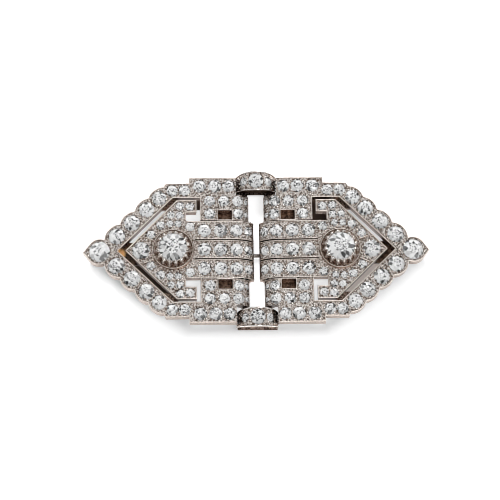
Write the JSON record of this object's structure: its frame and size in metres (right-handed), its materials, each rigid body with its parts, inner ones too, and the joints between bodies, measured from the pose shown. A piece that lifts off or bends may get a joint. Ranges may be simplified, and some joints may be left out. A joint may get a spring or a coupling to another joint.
{
  "type": "double clip brooch",
  "caption": "Pointed stone-set clips, back to back on a brooch frame, with banded centres, pierced slots, scalloped borders and half-barrel bridges between them.",
  "frame": {"origin": "middle of the surface that the brooch lies on, under the middle of its length and height", "axes": "+X along the brooch's length, +Y up its front, +Z out of its front, away from the wearer"},
  "size_m": [0.0662, 0.0306, 0.0086],
  "materials": {
    "setting": "polished platinum, slightly warm and worn",
    "frame": "polished platinum, slightly warm and worn",
    "fitting": "worn gold",
    "pin": "drawn wire",
    "stone": "clear old cut stone"
  },
  "bodies": {
    "root": {"left_clip_setting": "setting", "right_clip_setting": "setting", "left_clip_fitting": "fitting", "right_clip_fitting": "fitting", "brooch_frame": "frame", "brooch_pin": "pin", "left_centre_stone": "stone", "right_centre_stone": "stone", "left_tip_stone": "stone", "right_tip_stone": "stone", "left_inner_tip_stone": "stone", "right_inner_tip_stone": "stone", "top_bridge_stone": "stone", "bottom_bridge_stone": "stone", "top_bridge_side_stones": "stone", "bottom_bridge_side_stones": "stone", "left_border_stones": "stone", "right_border_stones": "stone", "left_bar_stones": "stone", "right_bar_stones": "stone", "left_side_stones": "stone", "right_side_stones": "stone", "left_band_stones": "stone", "right_band_stones": "stone", "left_arrow_stones": "stone", "right_arrow_stones": "stone"}
  },
  "joints": []
}
